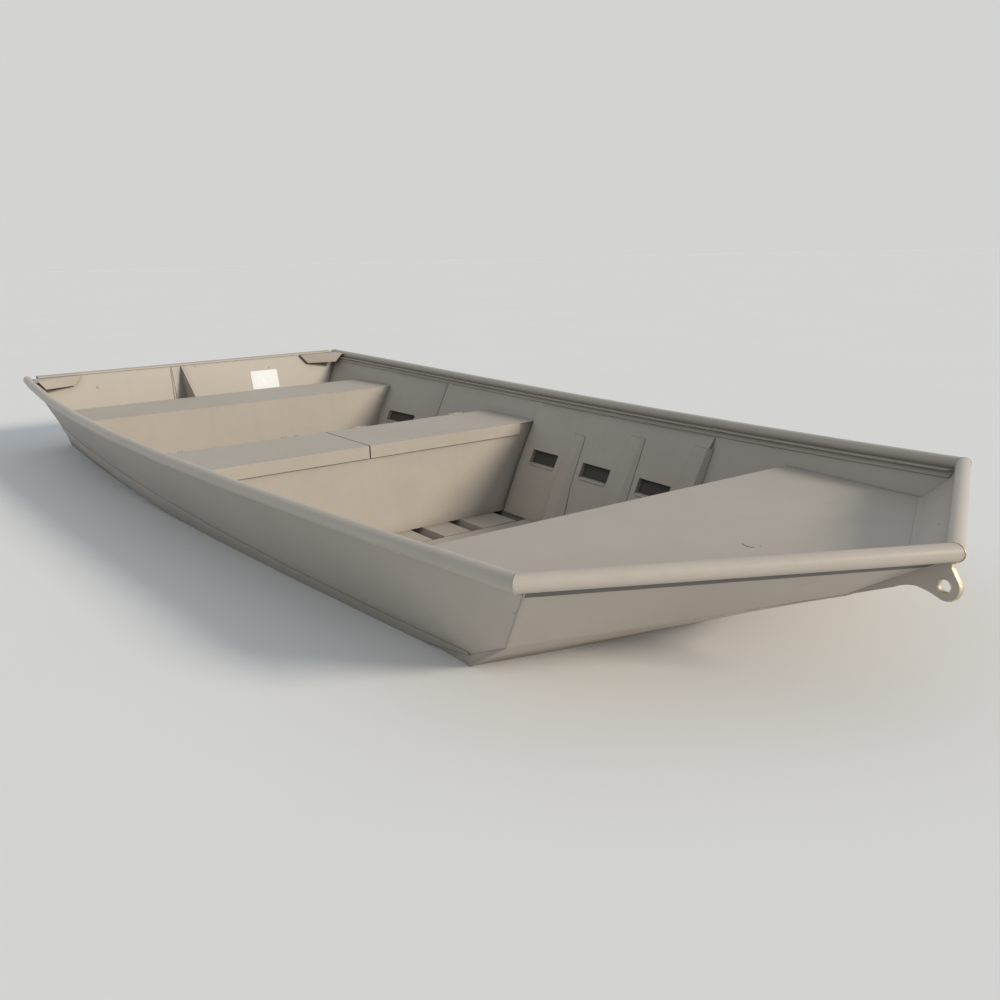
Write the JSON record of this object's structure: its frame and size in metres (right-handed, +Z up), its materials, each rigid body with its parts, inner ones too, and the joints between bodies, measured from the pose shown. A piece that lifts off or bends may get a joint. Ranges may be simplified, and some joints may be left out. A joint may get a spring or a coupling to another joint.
{
  "type": "jon boat",
  "caption": "Open flat-bottomed boat of welded sheet with raked blunt bow, fore deck, bench seats with hinged lids, tube rails and bow eye.",
  "frame": {"origin": "middle of the boat's overall box at the undersides of the bottom strakes", "axes": "+X forward to the bow, +Y to port, +Z up"},
  "size_m": [4.2995, 1.7858, 0.592],
  "materials": {
    "hull_paint": "satin beige-grey paint",
    "rail_paint": "satin beige-grey paint, a little lighter where handled",
    "inner_paint": "satin beige-grey paint",
    "core_board": "satin beige-grey paint over the transom's inner panel",
    "hinge_metal": "bare metal hinge",
    "pad": "satin paint over the engine clamp plate",
    "brass": "dull brass"
  },
  "bodies": {
    "hull": {"aft_gusset_port": "rail_paint", "aft_gusset_starboard": "rail_paint", "bench_hinges": "hinge_metal", "bottom_plate": "hull_paint", "bottom_strakes": "hull_paint", "bow_panel_port": "hull_paint", "bow_panel_starboard": "hull_paint", "bow_rail_port": "rail_paint", "bow_rail_starboard": "rail_paint", "drain_plug": "brass", "floor_ribs": "inner_paint", "floor_stringers_aft": "inner_paint", "floor_stringers_bow": "inner_paint", "floor_stringers_fore": "inner_paint", "floor_stringers_mid": "inner_paint", "fore_deck": "inner_paint", "fore_deck_riser": "inner_paint", "forefoot_plate": "hull_paint", "lower_side_port": "hull_paint", "lower_side_starboard": "hull_paint", "mid_bench_back": "inner_paint", "mid_bench_front": "inner_paint", "motor_pad": "pad", "rear_bench_back": "inner_paint", "rear_bench_front": "inner_paint", "rear_bench_top": "inner_paint", "side_liner_port": "inner_paint", "side_liner_starboard": "inner_paint", "side_panel_port": "hull_paint", "side_panel_starboard": "hull_paint", "side_rail_port": "rail_paint", "side_rail_starboard": "rail_paint", "side_ribs_port": "inner_paint", "side_ribs_starboard": "inner_paint", "spray_rail_port": "hull_paint", "spray_rail_starboard": "hull_paint", "stem_plate": "rail_paint", "transom_cap": "rail_paint", "transom_core": "core_board", "transom_knee": "inner_paint", "transom_plate": "hull_paint"},
    "lid_port": {"mid_lid_port": "inner_paint"},
    "lid_starboard": {"mid_lid_starboard": "inner_paint"}
  },
  "joints": [
    {"name": "lid_port_hinge", "type": "hinge", "parent": "hull", "child": "lid_port", "pos_m": [-0.58535, 0.4, 0.4275], "axis": [0, -1, 0], "range_deg": [0, 100]},
    {"name": "lid_starboard_hinge", "type": "hinge", "parent": "hull", "child": "lid_starboard", "pos_m": [-0.58535, -0.4, 0.4275], "axis": [0, -1, 0], "range_deg": [0, 100]}
  ]
}
